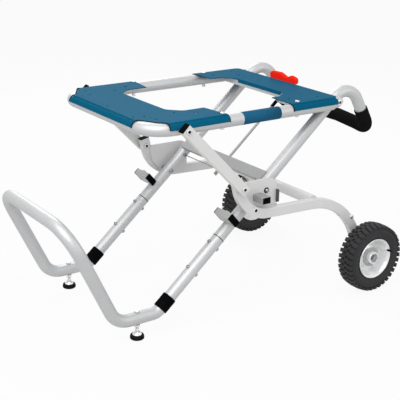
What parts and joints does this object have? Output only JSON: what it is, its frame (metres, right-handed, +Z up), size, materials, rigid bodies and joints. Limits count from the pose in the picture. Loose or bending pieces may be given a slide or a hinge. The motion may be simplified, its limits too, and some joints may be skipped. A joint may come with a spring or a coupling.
{
  "type": "table saw stand",
  "caption": "Folding wheeled stand for a bench saw: tubular deck with saddle plates, slanting leg frame with foot loop and carrying handle, and a linked wheel frame.",
  "frame": {"origin": "bottom centre of the set-up stand's bounding box, on the floor", "axes": "+Z up, +X along the stand from the foot loop to the wheels and handle, +Y across the stand"},
  "size_m": [1.1052, 0.6644, 0.6401],
  "materials": {
    "aluminium": "satin drawn tube",
    "grey_steel": "satin light grey powder coat",
    "dull_steel": "dull zinc grey",
    "zinc_steel": "bright zinc plate",
    "blue_paint": "satin blue powder coat",
    "black_plastic": "matt",
    "black_foam": "soft closed-cell foam",
    "black_rubber": "matt",
    "tyre_rubber": "matt, lugged",
    "white_paint": "gloss white",
    "red_plastic": "semi-gloss"
  },
  "bodies": {
    "leg_frame": {"foot_loop": "aluminium", "handle_tube": "aluminium", "lower_leg_left": "aluminium", "lower_leg_right": "aluminium", "leg_collar_left": "black_plastic", "leg_collar_right": "black_plastic", "leg_bolt_upper_left": "zinc_steel", "leg_bolt_lower_left": "zinc_steel", "leg_bolt_upper_right": "zinc_steel", "leg_bolt_lower_right": "zinc_steel", "foot_screw_left": "zinc_steel", "foot_screw_right": "zinc_steel", "foot_pad_left": "black_rubber", "foot_pad_right": "black_rubber", "bearing_block_left": "grey_steel", "bearing_block_right": "grey_steel", "block_cap_left": "black_plastic", "block_cap_right": "black_plastic", "wheel_pivot_bolt_left": "zinc_steel", "wheel_pivot_bolt_right": "zinc_steel", "leg_brace": "dull_steel", "foam_grip": "black_foam", "lock_cable": "zinc_steel"},
    "deck": {"deck_tube": "aluminium", "deck_cross_rail": "aluminium", "front_plate": "blue_paint", "rear_plate": "blue_paint", "deck_screw_front_left": "zinc_steel", "deck_screw_front_right": "zinc_steel", "deck_screw_rear_left": "zinc_steel", "deck_screw_rear_right": "zinc_steel", "deck_pivot_bolt_left": "zinc_steel", "deck_pivot_bolt_right": "zinc_steel", "link_top_bolt_left": "zinc_steel", "link_top_bolt_right": "zinc_steel", "lever_bracket": "grey_steel"},
    "lever": {"release_lever": "red_plastic"},
    "rod": {"release_rod": "dull_steel"},
    "pin_left": {"lock_pin_left": "zinc_steel"},
    "pin_right": {"lock_pin_right": "zinc_steel"},
    "link_arm_left": {"link_left": "grey_steel", "link_cap_left": "black_plastic", "link_bottom_bolt_left": "zinc_steel"},
    "link_arm_right": {"link_right": "grey_steel", "link_cap_right": "black_plastic", "link_bottom_bolt_right": "zinc_steel"},
    "wheel_frame": {"wheel_tube_left": "grey_steel", "wheel_tube_right": "grey_steel", "wheel_tube_cap_left": "black_plastic", "wheel_tube_cap_right": "black_plastic", "gusset_left": "grey_steel", "gusset_right": "grey_steel", "wheel_cross_tube": "grey_steel", "axle_bolt_left": "zinc_steel", "axle_bolt_right": "zinc_steel"},
    "wheel_left": {"tyre_left": "tyre_rubber", "wheel_rim_left": "white_paint"},
    "wheel_right": {"tyre_right": "tyre_rubber", "wheel_rim_right": "white_paint"}
  },
  "joints": [
    {"name": "deck_fold", "type": "hinge", "parent": "leg_frame", "child": "deck", "pos_m": [0.34325, 0, 0.5905], "axis": [0, -1, 0], "range_deg": [0, 31.8]},
    {"name": "wheel_frame_fold", "type": "hinge", "parent": "leg_frame", "child": "wheel_frame", "pos_m": [0.03231, 0, 0.32021], "axis": [0, 1, 0], "range_deg": [0, 99.6]},
    {"name": "link_left_fold", "type": "hinge", "parent": "deck", "child": "link_arm_left", "pos_m": [-0.21675, -0.27, 0.5905], "axis": [0, -1, 0], "range_deg": [0, 29.8]},
    {"name": "link_right_fold", "type": "hinge", "parent": "deck", "child": "link_arm_right", "pos_m": [-0.21675, 0.27, 0.5905], "axis": [0, -1, 0], "range_deg": [0, 29.8]},
    {"name": "lever_pull", "type": "hinge", "parent": "deck", "child": "lever", "pos_m": [0.32901, 0, 0.54897], "axis": [0, 1, 0], "range_deg": [0, 20], "stiffness_Nm_per_rad": 3},
    {"name": "rod_slide", "type": "slide", "parent": "leg_frame", "child": "rod", "axis": [0.7547, 0, 0.6561], "range_m": [0, 0.0077]},
    {"name": "pin_left_slide", "type": "slide", "parent": "leg_frame", "child": "pin_left", "axis": [0, 1, 0], "range_m": [0, 0.008]},
    {"name": "pin_right_slide", "type": "slide", "parent": "leg_frame", "child": "pin_right", "axis": [0, -1, 0], "range_m": [0, 0.008]},
    {"name": "wheel_left_spin", "type": "hinge", "parent": "wheel_frame", "child": "wheel_left", "pos_m": [0.44625, -0.3025, 0.1065], "axis": [0, 1, 0], "continuous": true},
    {"name": "wheel_right_spin", "type": "hinge", "parent": "wheel_frame", "child": "wheel_right", "pos_m": [0.44625, 0.3025, 0.1065], "axis": [0, 1, 0], "continuous": true}
  ],
  "couplings": [
    {"joint": "wheel_frame_fold", "follows": "deck_fold", "ratio": 3.132},
    {"joint": "link_left_fold", "follows": "deck_fold", "ratio": 0.937},
    {"joint": "link_right_fold", "follows": "deck_fold", "ratio": 0.937},
    {"joint": "rod_slide", "follows": "lever_pull", "m_per_rad": 0.022},
    {"joint": "pin_left_slide", "follows": "lever_pull", "m_per_rad": 0.0229},
    {"joint": "pin_right_slide", "follows": "lever_pull", "m_per_rad": 0.0229}
  ]
}
